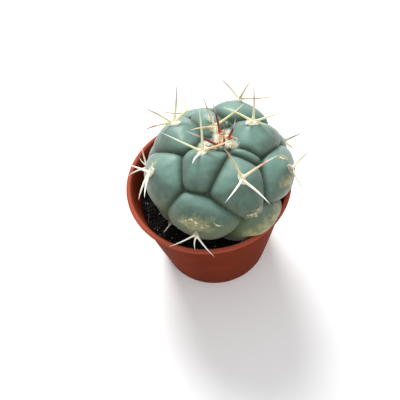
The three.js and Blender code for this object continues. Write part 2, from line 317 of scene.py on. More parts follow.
# Tubercles that stand higher than the rest in millimetres, those that gave way to their
# neighbours or pushed them aside in square millimetres, and the two that are one body
taller = {3: 1.2, 10: 2}
pressed = {-6: 70, -5: 70, -4: 50, -3: 75, -2: 35, 0: -30}
grown_together = (2, 10)
join_softness = 3

# Each tubercle is one turn on and one step down. Some grew off the spiral, and so did some
# areoles: how far round and down, in degrees
spiral_start = 10.5
spiral_turn = 136.4
spiral_polar = 29.6
spiral_step = 8.05
youngest = -6
oldest = 14
shifted_body = {
    -6: (-35, -6), -5: (-58, 6), -3: (-6, 23), -2: (2, 7), -1: (13, 7), 0: (-5, 3), 1: (8, -5),
    2: (-2, -4), 3: (-9, -10), 4: (1, -2), 5: (2, 2), 6: (-10, 14), 7: (1, 4), 8: (8, 12),
    9: (-6, 12), 10: (8, 12), 12: (-20, 8),
}
shifted_areole = {-2: (-12, 0), 0: (1, 1), 1: (-1, -1), 2: (3, 1), 7: (1, 8)}


def smooth_step(x, low, high):
    """0 up to low, 1 from high on, and an even curve between them."""
    t = np.clip((x - low) / (high - low), 0, 1)
    return t * t * (3 - 2 * t)


def globe_point(azimuth, polar, raised=0.0):
    """Points on the plain globe of the crease floor, in millimetres from its centre."""
    azimuth, polar = np.radians(azimuth), np.radians(polar)
    height = np.where(polar < math.pi / 2, crease_rise, crease_drop) + raised
    across = (crease_radius + raised) * np.sin(polar)
    points = [across * np.cos(azimuth), across * np.sin(azimuth), height * np.cos(polar)]
    return np.stack(np.broadcast_arrays(*points), axis=-1)


def unit(vectors):
    return vectors / np.linalg.norm(vectors, axis=-1, keepdims=True)


def globe_normal(azimuth, polar):
    azimuth, polar = np.radians(azimuth), np.radians(polar)
    height = np.where(polar < math.pi / 2, crease_rise, crease_drop)
    across = np.sin(polar) / crease_radius
    parts = [across * np.cos(azimuth), across * np.sin(azimuth), np.cos(polar) / height]
    return unit(np.stack(np.broadcast_arrays(*parts), axis=-1))


def on_spiral(n, shifts):
    """Degrees round and down of tubercle n's body or areole."""
    turn, down = shifts.get(n, (0, 0))
    return spiral_start + spiral_turn * n + turn, spiral_polar + spiral_step * n + down


tubercle_names = np.arange(youngest, oldest + 1)
bodies = np.array(
    [globe_point(*on_spiral(n, shifted_body), tubercle_middle) for n in tubercle_names]
)
areoles = np.array(
    [globe_point(*on_spiral(n, shifted_areole), tubercle_middle) for n in tubercle_names]
)
extra_height = np.array([taller.get(n, 0.0) for n in tubercle_names])
pressure = np.array([pressed.get(n, 0) for n in tubercle_names])


def from_creases(squared, own, left):
    """How far inside its tubercle each point lies, from the nearest crease with a neighbour."""
    rows = np.arange(len(squared))
    apart = np.linalg.norm(bodies[None] - bodies[own][:, None], axis=-1)
    apart[rows, own] = 1
    to_crease = (squared - squared[rows, own][:, None]) / (2 * apart)
    to_crease[rows, own] = np.inf
    to_crease[:, left] = np.inf
    return -crease_softness * np.log(np.exp(-to_crease / crease_softness).sum(1))


def inside_tubercle(points):
    """The same, whose tubercle it is, and how far in it would be had none grown together."""
    squared = ((points[:, None, :] - bodies[None]) ** 2).sum(-1) + pressure
    own = squared.argmin(1)
    alone = np.maximum(from_creases(squared, own, []), 0)
    pair = [n - youngest for n in grown_together]
    both = [from_creases(squared, np.full(len(points), i), pair) for i in pair]
    less, more = np.sort(both, axis=0)
    waist = join_softness * np.log1p(np.exp((less - more) / join_softness))
    joined = more + waist * smooth_step(less, 0, join_softness)
    return np.where(np.isin(own, pair), np.maximum(joined, 0), alone), own, alone


def bulge(inside):
    """How high a pillow stands there, from 0 in its crease to 1 on its top."""
    reach = np.minimum(inside / tubercle_shoulder, 1)
    return (1 - (1 - reach) ** tubercle_roundness) ** (1 / tubercle_roundness)


def pillow(azimuth, polar):
    """How far each tubercle lifts the skin above the crease floor."""
    points = globe_point(azimuth, polar, tubercle_middle)
    inside, own, alone = inside_tubercle(points)
    height = tubercle_height * bulge(inside) + extra_height[own] * bulge(alone)
    to_areole = np.linalg.norm(areoles[own] - points, axis=-1) / nose_width
    reach = np.minimum(inside / tubercle_shoulder, 1)
    nose = nose_height * np.exp(-(to_areole**2)) * np.sqrt(reach)
    grown = young_share + (1 - young_share) * smooth_step(polar, young_from, young_to)
    left = 1 - (1 - old_share) * smooth_step(polar, old_from, old_to)
    return (height + nose) * grown * left


stem_up = unit(np.array([*np.tan(np.radians(stem_lean)), 1.0]))
stem_side = unit(np.cross([0, 1, 0], stem_up))
stem_basis = np.array([stem_side, np.cross(stem_up, stem_side), stem_up])


def beside_rim(points):
    """The swollen side presses against the pot's rim and is flattened by it."""
    radius = np.hypot(points[:, 0], points[:, 1])
    above = np.maximum(0, points[:, 2] - pot_height - 0.5)
    wall = wall_radius(np.minimum(points[:, 2], pot_height)) - pot_wall
    limit = wall - rim_clearance + rim_flare * above
    held = limit - rim_softness * np.logaddexp(0, (limit - radius) / rim_softness)
    return points * np.stack([held / radius, held / radius, np.ones_like(radius)], axis=-1)


def stem_point(azimuth, polar):
    """Points of the skin, in millimetres, from degrees round the stem and down from its tip."""
    azimuth, polar = (np.atleast_1d(np.asarray(a, float)) for a in (azimuth, polar))
    sink = crown_sink * np.exp(-((polar / crown_spread) ** 2))
    raised = pillow(azimuth, polar) - sink
    points = globe_point(azimuth, polar) + globe_normal(azimuth, polar) * raised[:, None]
    points[:, 2] -= root_length * smooth_step(polar, root_from, 180)
    return beside_rim(points @ stem_basis + stem_centre)


def stem_angles(directions):
    """Degrees round and down for unit directions, with most of the faces above the soil."""
    shown, faces_shown = 122, 150
    polar = np.degrees(np.arccos(np.clip(directions[:, 2], -1, 1)))
    azimuth = np.degrees(np.arctan2(directions[:, 1], directions[:, 0]))
    buried = (polar - faces_shown) / (180 - faces_shown)
    shown_polar = polar * shown / faces_shown
    return azimuth, np.where(buried < 0, shown_polar, shown + (180 - shown) * buried)


def vertex_array(mesh):
    points = np.empty(len(mesh.vertices) * 3, np.float32)
    mesh.vertices.foreach_get("co", points)
    return points.reshape(-1, 3).astype(float)


def place_vertices(mesh, points):
    """Moves the mesh's vertices to points in millimetres."""
    mesh.vertices.foreach_set("co", (points * MM).astype(np.float32).ravel())
    mesh.update()


def note_values(mesh, name, values):
    """Keeps one number for each vertex, which a material reads by name."""
    attribute = mesh.attributes.new(name, "FLOAT", "POINT")
    attribute.data.foreach_set("value", values.astype(np.float32))


def skin_material():
    # Cactus epidermis: a firm, dull, water-filled skin. Where it faces up it has a blue-white
    # bloom of wax and is painted paler, as if lit from above; its sides are olive green, painted
    # darker as shade. The creases are bare of wax and painted darker still, as shade. Where the
    # skin was hurt it has healed with dry cream cork, and round the cork it is stained yellow.
    material, add = new_material("waxy_cactus_skin")
    place = (add("TexCoord"), "Object")
    noted = ("shoulder", "faces_up", "age", "cork", "stain")
    shoulder, faces_up, age, cork, stain = [
        (add("Attribute", {"attribute_name": name}), "Fac") for name in noted
    ]
    wax = add("TexNoise", Vector=place, Scale=1 / (9 * MM), Detail=3, Roughness=0.5)
    rubbed = add("TexNoise", Vector=place, Scale=1 / (3 * MM), Detail=4, Roughness=0.6)
    crumble = add("TexNoise", Vector=place, Scale=1 / (1.2 * MM), Detail=7, Roughness=0.85)
    pores = add("TexNoise", Vector=place, Scale=1 / (0.35 * MM), Detail=2)
    # Painted light and shade: skin that faces up is painted paler and bluer and its sides darker
    # olive, on top of the patchy wax bloom
    patchy = add(
        "Math",
        {"operation": "MULTIPLY_ADD"},
        Value=wax,
        Value_001=0.4,
        Value_002=faces_up,
    )
    bloom_and_top_light = add(
        "ValToRGB",
        stops=[(0.15, "#424F33"), (0.45, "#4A5C47"), (0.8, "#577064"), (1.0, "#688A7F")],
        Fac=patchy,
    )
    rubbing = add("ValToRGB", stops=[(0.45, 0.0), (0.7, 0.2)], Fac=rubbed)
    powdered = add(
        "Mix",
        {"data_type": "RGBA"},
        Factor_Float=rubbing,
        A_Color=bloom_and_top_light,
        B_Color=linear("#84A091"),
    )
    # Painted shade: the skin is painted darker towards each crease, where shade falls, as well as
    # being bare of wax there
    depth = add("ValToRGB", stops=[(0.0, 0.0), (0.07, 0.6), (0.22, 1.0)], Fac=shoulder)
    bare_and_shaded_creases = add(
        "Mix",
        {"data_type": "RGBA"},
        Factor_Float=depth,
        A_Color=linear("#2C4532"),
        B_Color=(powdered, "Result_Color"),
    )
    aged = add(
        "Mix",
        {"data_type": "RGBA"},
        Factor_Float=age,
        A_Color=(bare_and_shaded_creases, "Result_Color"),
        B_Color=linear("#5C6A46"),
    )
    blotch = add(
        "Math", {"operation": "MULTIPLY_ADD"}, Value=rubbed, Value_001=3.0, Value_002=-1.5
    )
    stained = add("Math", {"operation": "ADD"}, Value=stain, Value_001=blotch)
    yellow = add("ValToRGB", stops=[(0.2, 0.0), (1.0, 0.7)], Fac=stained)
    tan = add("ValToRGB", stops=[(0.4, "#A3A368"), (0.65, "#B8A06A")], Fac=crumble)
    tanned = add(
        "Mix",
        {"data_type": "RGBA"},
        Factor_Float=yellow,
        A_Color=(aged, "Result_Color"),
        B_Color=tan,
    )
    broken = add(
        "Math", {"operation": "MULTIPLY_ADD"}, Value=crumble, Value_001=5.5, Value_002=-2.85
    )
    scarred = add("Math", {"operation": "ADD"}, Value=cork, Value_001=broken)
    crust = add("ValToRGB", stops=[(0.5, 0.0), (0.8, 1.0)], Fac=scarred)
    cork_colour = add("ValToRGB", stops=[(0.35, "#D9D0A0"), (0.6, "#F6F0D6")], Fac=pores)
    healed = add(
        "Mix",
        {"data_type": "RGBA"},
        Factor_Float=crust,
        A_Color=(tanned, "Result_Color"),
        B_Color=cork_colour,
    )
    grain = add("Bump", Strength=0.2, Distance=0.05 * MM, Height=pores)
    relief = add("Bump", Strength=0.9, Distance=0.3 * MM, Height=crust, Normal=grain)
    dullness = add("ValToRGB", stops=[(0.0, 0.46), (1.0, 0.85)], Fac=crust)
    shader = add(
        "BsdfPrincipled",
        Base_Color=(healed, "Result_Color"),
        Roughness=dullness,
        IOR=1.42,
        Subsurface_Weight=0.1,
        Subsurface_Radius=(0.6 * MM, 1.2 * MM, 0.7 * MM),
        Subsurface_Scale=1.0,
        Sheen_Weight=0.25,
        Sheen_Roughness=0.45,
        Normal=relief,
    )
    add("OutputMaterial", Surface=shader)
    return material


# Cork scars as strokes over the skin: how wide, in millimetres, and through which points, in
# degrees round the stem and down from its tip. Stains are wider and softer.
cork_strokes = [
    (0.9, [(-125, 87.5), (-121.5, 83), (-117.5, 79.5), (-113.5, 81)]),
    (1.0, [(-117, 80), (-113.5, 82), (-110, 83), (-105.5, 84.5)]),
    (0.8, [(-114, 81), (-113.5, 86), (-109, 87)]),
    (0.8, [(-101.5, 80), (-99, 84.5), (-95, 85.5)]),
    (1.3, [(-76.5, 80.5), (-72, 81), (-69, 79.5), (-66.5, 77)]),
    (0.9, [(-74, 84), (-70, 84)]),
    (1.0, [(-24, 56), (-23.5, 58), (-23, 61)]),
    (1.1, [(-39.5, 73.5), (-42, 74.5)]),
    (0.8, [(176.5, 57), (176, 60)]),
    (1.0, [(-52, 102), (-56, 101)]),
    (1.0, [(36, 70), (40, 76), (47, 78)]),
    (0.9, [(128, 84), (134, 80), (139, 83)]),
    (0.8, [(92, 55), (95, 60)]),
]
stain_strokes = [
    (4.8, [(-121, 84), (-114, 84), (-107, 87)]),
    (3.2, [(-115, 86), (-116, 93)]),
    (3.0, [(-74, 82), (-68, 82)]),
    (6.6, [(-72, 105), (-63, 99), (-52, 99)]),
    (2.2, [(-22, 58), (-21, 64)]),
    (3.0, [(-169, 58), (-167, 63)]),
    (3.6, [(-38, 74), (-32, 80)]),
    (4.0, [(40, 78), (52, 84)]),
    (3.4, [(130, 86), (140, 88)]),
]


def stroke_field(points, strokes):
    """How near each point lies to a stroke: 1 on its line, 0 one width away, and less past it."""
    field = np.full(len(points), -1.0)
    for width, corners in strokes:
        line = stem_point(*np.array(corners).T)
        for start, end in zip(line, line[1:]):
            along = np.clip((points - start) @ (end - start) / ((end - start) ** 2).sum(), 0, 1)
            gap = np.linalg.norm(points - start - along[:, None] * (end - start), axis=1)
            field = np.maximum(field, 1 - gap / width)
    return field


def grown_stem():
    """An icosphere of 82,000 faces, each corner carried out to the skin."""
    globe = bmesh.new()
    bmesh.ops.create_icosphere(globe, subdivisions=7, radius=1)
    stem = to_piece(globe, "stem_body", skin_material())
    azimuth, polar = stem_angles(unit(vertex_array(stem.data)))
    points = stem_point(azimuth, polar)
    cork = stroke_field(points, cork_strokes)
    # Nothing grows quite even: slow dents of a quarter of a millimetre, and proud cork
    dents = np.array([noise(Vector(p) / 6) + 0.5 * noise(Vector(p) / 2.5) for p in points])
    lift = 0.22 * dents * smooth_step(polar, 5, 20) + 0.12 * smooth_step(cork, 0.2, 0.8)
    out = globe_normal(azimuth, polar) @ stem_basis
    place_vertices(stem.data, points + out * lift[:, None])
    inside, _, _ = inside_tubercle(globe_point(azimuth, polar, tubercle_middle))
    normals = np.array([v.normal for v in stem.data.vertices])
    # How far from its crease each point lies, which the skin material uses to paint shade into
    # the creases
    note_values(stem.data, "shoulder", np.minimum(inside / tubercle_shoulder, 1))
    # Painted light: how far each point faces up, which the skin material uses to paint the tops
    # paler and the sides darker
    note_values(stem.data, "faces_up", np.clip(0.1 + 0.75 * normals[:, 2], 0, 1))
    note_values(stem.data, "age", 0.75 * smooth_step(polar, 72, 104))
    note_values(stem.data, "cork", cork)
    note_values(stem.data, "stain", stroke_field(points, stain_strokes))
    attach(stem, "root")
    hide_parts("stem")
    return stem


stem = grown_stem()


# The potting mix is black peat with a little fibre and pale grit, filled in round the stem
# and pressed down by watering. It is one bed with loose crumbs, fibres and grit lying on it.
soil_below = 11
soil_lump = 0.9
soil_heel = 1.5
seat_gap = 0.3
soil_top = pot_height - soil_below
soil_edge = wall_radius(soil_top - soil_lump) - pot_wall - seat_gap


def seeded_draws(seed):
    """Draws from 0 to 1, the same on every run."""
    state = seed
    while True:
        state = (state * 1664525 + 1013904223) % 4294967296
        yield state / 4294967296


def soil_waves():
    """Slow waves over the soil, five to eleven millimetres long, that add up to its lumps."""
    draw = seeded_draws(11)
    shortest, spread = 5, 6
    waves = []
    for _ in range(7):
        heading = next(draw) * 2 * math.pi
        pace = 2 * math.pi / (shortest + spread * next(draw))
        waves.append((math.cos(heading) * pace, math.sin(heading) * pace, next(draw) * 6))
    return waves


waves = soil_waves()
stem_tree = BVHTree.FromPolygons(
    [v.co / MM for v in stem.data.vertices], [tuple(p.vertices) for p in stem.data.polygons]
)


def soil_height(x, y):
    """The height of the soil at a place, in millimetres, with its lumps and its crumb."""
    z = soil_top + sum(soil_lump / 3 * math.sin(x * a + y * b + c) for a, b, c in waves)
    place = Vector((x, y, 0))
    z += 0.35 * noise(place / 1.9) + 0.3 * noise(place / 0.8)
    return z


def under_stem(x, y):
    """The height of the stem's underside over a place, or None beside the stem."""
    return stem_tree.ray_cast(Vector((x, y, 5)), Vector((0, 0, 1)))[0]


def peat_material():
    # Damp black peat: crumbs from dust to a millimetre, nearly black where it is wet, with a
    # few brown fibres and sparkling grains. Dull all over, with a little wet gloss.
    material, add = new_material("black_peat")
    place = (add("TexCoord"), "Object")
    crumb = add("TexNoise", Vector=place, Scale=1 / (1.1 * MM), Detail=6, Roughness=0.7)
    damp = add("TexNoise", Vector=place, Scale=1 / (7 * MM), Detail=3)
    dark = add(
        "ValToRGB", stops=[(0.35, "#040303"), (0.55, "#0A0807"), (0.78, "#1E1814")], Fac=crumb
    )
    wet = add("ValToRGB", stops=[(0.35, 0.6), (0.65, 0.95)], Fac=damp)
    bump = add("Bump", Strength=1.0, Distance=0.4 * MM, Height=crumb)
    shader = add(
        "BsdfPrincipled",
        Base_Color=dark,
        Roughness=wet,
        IOR=1.4,
        Specular_IOR_Level=0.2,
        Normal=bump,
    )
    add("OutputMaterial", Surface=shader)
    return material


def soil_bed():
    heel_low = wall_radius(pot_floor) - pot_wall - soil_heel - seat_gap
    heel_high = wall_radius(pot_floor + soil_heel) - pot_wall - seat_gap
    rings = 66
    profile = [(0, pot_floor + seat_gap), (heel_low, pot_floor + seat_gap)]
    profile.append((heel_high, pot_floor + soil_heel + seat_gap))
    profile += [(soil_edge * (1 - i / rings), soil_top) for i in range(rings + 1)]
    bed = to_piece(turned(profile, 210), "soil_bed", peat_material())
    points = vertex_array(bed.data) / MM
    for point in points:
        if point[2] > soil_top - 0.01:
            point[2] = soil_height(point[0], point[1])
            above = under_stem(point[0], point[1])
            if above:
                point[2] = min(point[2], above.z - seat_gap)
    place_vertices(bed.data, points)
    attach(bed, "root")
    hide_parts("soil")


soil_bed()


def copies_of(bm, count):
    """The bmesh with as many copies of its shape as asked, one after another."""
    size = len(bm.verts)
    while len(bm.verts) < size * count:
        bm.verts.ensure_lookup_table()
        missing = size * count - len(bm.verts)
        chosen = bm.verts[: min(missing, len(bm.verts))]
        keep = set(chosen)
        edges = [e for e in bm.edges if e.verts[0] in keep]
        faces = [f for f in bm.faces if f.verts[0] in keep]
        bmesh.ops.duplicate(bm, geom=chosen + edges + faces)
    return bm


def turned_at_random(draw, count):
    """Random turning matrices, one for each copy."""
    turns = []
    for _ in range(count):
        angle = draw.uniform(0, 6.28)
        axis = Vector([draw.gauss(0, 1) for _ in range(3)]).normalized()
        turns.append(Matrix.Rotation(angle, 3, axis))
    return np.array(turns)


def crumbs(name, material, count, smallest, largest, faces, seed, sunk):
    """Lumps lying on the soil where it shows, from smallest to largest, in millimetres."""
    draw = random.Random(seed)
    lump = bmesh.new()
    bmesh.ops.create_icosphere(lump, subdivisions=faces, radius=1)
    shape = np.array([v.co for v in lump.verts])
    turns = turned_at_random(draw, count)
    placed = []
    while len(placed) < count:
        radius = soil_edge * math.sqrt(draw.random())
        angle = draw.uniform(0, 2 * math.pi)
        x, y = radius * math.cos(angle), radius * math.sin(angle)
        size = smallest + (largest - smallest) * draw.random() ** 2.5
        z = soil_height(x, y) + size * (0.5 - sunk)
        above = under_stem(x, y)
        if radius > soil_edge - size * 0.6 or (above and above.z < z + size):
            continue
        turn = turns[len(placed)]
        dents = [1 + 0.35 * noise(Vector(p * 1.3) + Vector((x, y, z))) for p in shape]
        stretch = np.array([draw.uniform(0.7, 1.3) for _ in range(3)])
        lumpy = shape * np.array(dents)[:, None] * stretch * size / 2
        placed.append(lumpy @ turn + (x, y, z))
    piece = to_piece(copies_of(lump, count), name, material)
    place_vertices(piece.data, np.concatenate(placed))
    note_values(piece.data, "tone", np.repeat([draw.random() for _ in range(count)], len(shape)))
    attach(piece, "root")
    return piece


def crumb_material():
    # Loose peat crumbs: the same stuff a shade drier, each crumb its own brown black.
    material, add = new_material("peat_crumb")
    place = (add("TexCoord"), "Object")
    tone = add("Attribute", {"attribute_name": "tone"})
    rough_crumb = add("TexNoise", Vector=place, Scale=1 / (0.5 * MM), Detail=4, Roughness=0.7)
    colour = add(
        "ValToRGB",
        stops=[(0.0, "#050404"), (0.65, "#0E0B0A"), (0.92, "#221A15"), (1.0, "#4A3A2B")],
        Fac=(tone, "Fac"),
    )
    bump = add("Bump", Strength=0.9, Distance=0.2 * MM, Height=rough_crumb)
    shader = add(
        "BsdfPrincipled", Base_Color=colour, Roughness=0.8, Specular_IOR_Level=0.25, Normal=bump
    )
    add("OutputMaterial", Surface=shader)
    return material


def grit_material():
    # Perlite and quartz grit: white to grey grains, chalky, a few with a glint.
    material, add = new_material("pale_grit")
    place = (add("TexCoord"), "Object")
    tone = add("Attribute", {"attribute_name": "tone"})
    grains = add("TexNoise", Vector=place, Scale=1 / (0.25 * MM), Detail=3, Roughness=0.6)
    colour = add(
        "ValToRGB",
        stops=[(0.0, "#7C766C"), (0.5, "#A9A49A"), (1.0, "#DAD7D0")],
        Fac=(tone, "Fac"),
    )
    bump = add("Bump", Strength=0.8, Distance=0.1 * MM, Height=grains)
    shader = add("BsdfPrincipled", Base_Color=colour, Roughness=0.45, Normal=bump)
    add("OutputMaterial", Surface=shader)
    return material


crumbs("peat_crumbs_fine", crumb_material(), 1500, 0.35, 1.1, 1, 3, 0.2)
crumbs("peat_crumbs_coarse", bpy.data.materials["peat_crumb"], 95, 1.1, 2.4, 2, 5, 0.35)
crumbs("grit_grains", grit_material(), 60, 0.25, 0.75, 2, 8, 0.1)


def perlite_grain():
    """The one large white grain, close to the pot's wall in front on the right."""
    grain = bmesh.new()
    bmesh.ops.create_icosphere(grain, subdivisions=4, radius=1)
    piece = to_piece(grain, "perlite_grain", bpy.data.materials["pale_grit"])
    shape = vertex_array(piece.data)
    x, y, size = 10.2, -27.2, 1.15
    dents = np.array([1 + 0.4 * noise(Vector(p * 1.6)) for p in shape])
    points = shape * dents[:, None] * size + (x, y, soil_height(x, y) + 0.6 * size)
    place_vertices(piece.data, points)
    note_values(piece.data, "tone", np.full(len(shape), 0.9))
    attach(piece, "root")


perlite_grain()


def strands(name, material, roots, ways, lengths, widths, bends, steps):
    """Thin tapering hairs, each from its root along its way and bent over towards its bend."""
    hair = bmesh.new()
    bmesh.ops.create_cone(hair, cap_ends=True, segments=3, radius1=1, radius2=0.12, depth=1)
    long_edges = [e for e in hair.edges if abs(e.verts[0].co.z - e.verts[1].co.z) > 0.5]
    bmesh.ops.subdivide_edges(hair, edges=long_edges, cuts=steps - 1)
    bmesh.ops.triangulate(hair, faces=hair.faces)
    shape = np.array([v.co for v in hair.verts])
    along = shape[:, 2] + 0.5
    ways = unit(ways)
    aside = unit(np.cross(ways, [0.31, 0.57, 0.76]))
    across = np.cross(ways, aside)
    points = (
        roots[:, None]
        + ways[:, None] * (along[None, :, None] * lengths[:, None, None])
        + bends[:, None] * (along[None, :, None] ** 2)
        + aside[:, None] * (shape[None, :, 0, None] * widths[:, None, None])
        + across[:, None] * (shape[None, :, 1, None] * widths[:, None, None])
    )
    piece = to_piece(copies_of(hair, len(roots)), name, material)
    place_vertices(piece.data, points.reshape(-1, 3))
    note_values(piece.data, "along", np.tile(along, len(roots)))
    note_values(piece.data, "tone", np.repeat(np.linspace(0, 1, len(roots)), len(along)))
    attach(piece, "root")
    return piece


def fibre_material():
    # Sphagnum and coir fibres: thin dry threads, tan to dark brown.
    material, add = new_material("peat_fibre")
    tone = add("Attribute", {"attribute_name": "tone"})
    colour = add(
        "ValToRGB",
        stops=[(0.0, "#1E150F"), (0.7, "#4A3626"), (1.0, "#927B5A")],
        Fac=(tone, "Fac"),
    )
    add("OutputMaterial", Surface=add("BsdfPrincipled", Base_Color=colour, Roughness=0.7))
    return material


def peat_fibres():
    draw = random.Random(21)
    roots, ways, bends = [], [], []
    while len(roots) < 70:
        radius = soil_edge * math.sqrt(draw.uniform(0.45, 0.9))
        angle = draw.uniform(0, 2 * math.pi)
        x, y = radius * math.cos(angle), radius * math.sin(angle)
        z = soil_height(x, y) + 0.25
        above = under_stem(x, y)
        if above and above.z < z + 3:
            continue
        heading = angle + math.pi / 2 + draw.gauss(0, 0.5)
        roots.append((x, y, z))
        ways.append((math.cos(heading), math.sin(heading), draw.uniform(-0.03, 0.12)))
        bends.append((draw.gauss(0, 0.8), draw.gauss(0, 0.8), -0.4))
    lengths = np.array([draw.uniform(2, 6) for _ in roots])
    widths = np.array([draw.uniform(0.05, 0.11) for _ in roots])
    roots, ways, bends = map(np.array, (roots, ways, bends))
    piece = strands("peat_fibres", fibre_material(), roots, ways, lengths, widths, bends, 5)


peat_fibres()


# Every tubercle bears an areole near its top: a pad of cream felt with a few stout spines of
# horn grown out of it. The spines are yellow at the foot, weather to grey brown and end white.
# The colours of each kind of spine: how far from foot to tip, and the colour there
horn_colours = {
    "cream": [(0, "#ECEBC4"), (0.4, "#EEF0CE"), (0.75, "#F3F4DE"), (1, "#FCFCF6")],
    "grey": [
        (0, "#EDEBC6"), (0.3, "#E6E1BE"), (0.5, "#C9B8A8"), (0.75, "#BDB2A6"), (1, "#D6D4CC"),
    ],
    "tan": [(0, "#EAE3BE"), (0.4, "#D9C7A0"), (0.8, "#C4AE8E"), (1, "#DED4C0")],
    "yellow": [(0, "#ECE9BC"), (0.45, "#EDE6AE"), (0.75, "#F2F0CE"), (1, "#FDFCF4")],
    "amber": [(0, "#ECE2B2"), (0.35, "#E6BC84"), (0.6, "#F0DCB6"), (1, "#FEFDF6")],
    "white": [(0, "#F4EFD8"), (0.3, "#FBF9EE"), (1, "#FFFFFB")],
    "pink": [
        (0, "#EFE9C6"), (0.35, "#EAD8B4"), (0.58, "#DDA894"), (0.8, "#F3E6DA"), (1, "#FDFBF6"),
    ],
    "red": [
        (0, "#C8553A"), (0.2, "#A63239"), (0.5, "#7D2A44"), (0.64, "#CDBEBA"), (1, "#F4F2ED"),
    ],
    "rust": [(0, "#B4704A"), (0.5, "#B0533F"), (1, "#D9B695")],
    "blush": [
        (0, "#ECE7B4"), (0.42, "#E8DFB0"), (0.52, "#BE5E52"), (0.75, "#AD6A62"), (1, "#B6B8AF"),
    ],
    "dark": [(0, "#C4B797"), (0.4, "#7D766F"), (1, "#5A5551")],
}
# For each areole: the way its spines point round it (0 is towards the crown), how far they
# lean from upright, both in degrees, their length in millimetres and their colour
spines = {
    -2: [(155, 46, 13.5, "grey"), (71, 71, 10, "amber"), (-113, 65, 14, "yellow")],
    -1: [(-101, 64, 16, "cream"), (-28, 34, 16.5, "cream"), (61, 69, 12, "amber"),
         (176, 80, 6.5, "white")],
    0: [(85, 32, 14.5, "grey"), (36, 84, 11.5, "yellow"), (-161, 57, 13.5, "cream"),
        (-45, 80, 4.5, "cream"), (-137, 79, 4.5, "cream")],
    1: [(-74, 37, 15.5, "grey"), (159, 39, 13, "grey"), (-41, 77, 8.5, "yellow"),
        (134, 76, 12, "blush")],
    2: [(-16, 72, 12, "tan"), (80, 65, 14.5, "pink"), (-119, 71, 11.5, "white"),
        (159, 71, 12.5, "white")],
    3: [(71, 56, 13, "grey"), (-53, 32, 9.5, "tan"), (-102, 75, 14, "tan"), (-18, 68, 5, "tan")],
    4: [(-113, 43, 9, "white"), (144, 78, 10, "white"), (115, 72, 10.5, "white"),
        (0, 64, 4, "white")],
    5: [(84, 48, 9.5, "grey"), (-138, 70, 11, "white")],
    6: [(-90, 31, 9.5, "tan"), (99, 57, 10, "grey")],
    7: [(-109, 61, 10.5, "white"), (-178, 65, 6, "white"), (122, 63, 10, "white")],
    8: [(136, 9, 10, "dark"), (118, 61, 10.5, "grey"), (-175, 51, 8, "grey")],
    9: [(-52, 73, 10, "pink"), (-31, 57, 4.5, "white"), (72, 48, 8.5, "white")],
    12: [(23, 21, 4.5, "white")],
}
# The pads of felt are longest on the young areoles and wear down on the older ones. The
# spines of the seventh are slighter than the rest
pad_size = (1.6, 3.0)
pad_shares = {-2: 0.85, -1: 1, 2: 0.72, 6: 0.55, 7: 0.4, 8: 0.55}
pad_height = 1.15
foot_spread = (0.5, 1.4)
spine_radius = 0.55
spine_shares = {7: 0.72}
short_spine, short_share = 6, 0.65
spine_root = 0.9
spine_bend = 1.8
ring_spacing = 0.75
bulb_length = 0.8
first_worn = 5


def areole_frame(azimuth, polar):
    """An areole's place on the skin, the way out of it, towards the crown, and round."""
    places = stem_point([azimuth, azimuth + 0.5, azimuth], [polar, polar, polar + 0.5])
    place, round_it, below = places
    across, down = round_it - place, below - place
    out = unit(globe_normal(azimuth, polar) @ stem_basis)
    out = unit(0.65 * out + 0.35 * unit(np.cross(down, across)))
    up = unit(-down + out * (down @ out))
    side = unit(np.cross(out, up))
    return place, out, up, side if side @ across > 0 else -side


def horn_material():
    # Spine horn: hard lignified fibre, round, faintly ringed and streaked along its length,
    # dull with a soft shine, and a little translucent near its white tip.
    material, add = new_material("spine_horn")
    place = (add("TexCoord"), "Object")
    tint = add("Attribute", {"attribute_name": "tint"})
    streaks = add("TexNoise", Vector=place, Scale=1 / (0.8 * MM), Detail=4, Roughness=0.65)
    shade = add("ValToRGB", stops=[(0.3, "#D6CDB8"), (0.65, "#FFFFFF")], Fac=streaks)
    weathered = add(
        "Mix",
        {"data_type": "RGBA", "blend_type": "MULTIPLY"},
        Factor_Float=0.45,
        A_Color=tint,
        B_Color=shade,
    )
    bump = add("Bump", Strength=0.5, Distance=0.06 * MM, Height=streaks)
    shader = add(
        "BsdfPrincipled",
        Base_Color=(weathered, "Result_Color"),
        Roughness=0.42,
        IOR=1.54,
        Subsurface_Weight=0.2,
        Subsurface_Radius=(0.5 * MM, 0.45 * MM, 0.3 * MM),
        Subsurface_Scale=1.0,
        Normal=bump,
    )
    add("OutputMaterial", Surface=shader)
    return material


def horn_tints(kind, along):
    stops = horn_colours[kind]
    places = [place for place, _ in stops]
    colours = np.array([linear(colour) for _, colour in stops])
    return np.stack([np.interp(along, places, colours[:, i]) for i in range(4)], axis=-1)


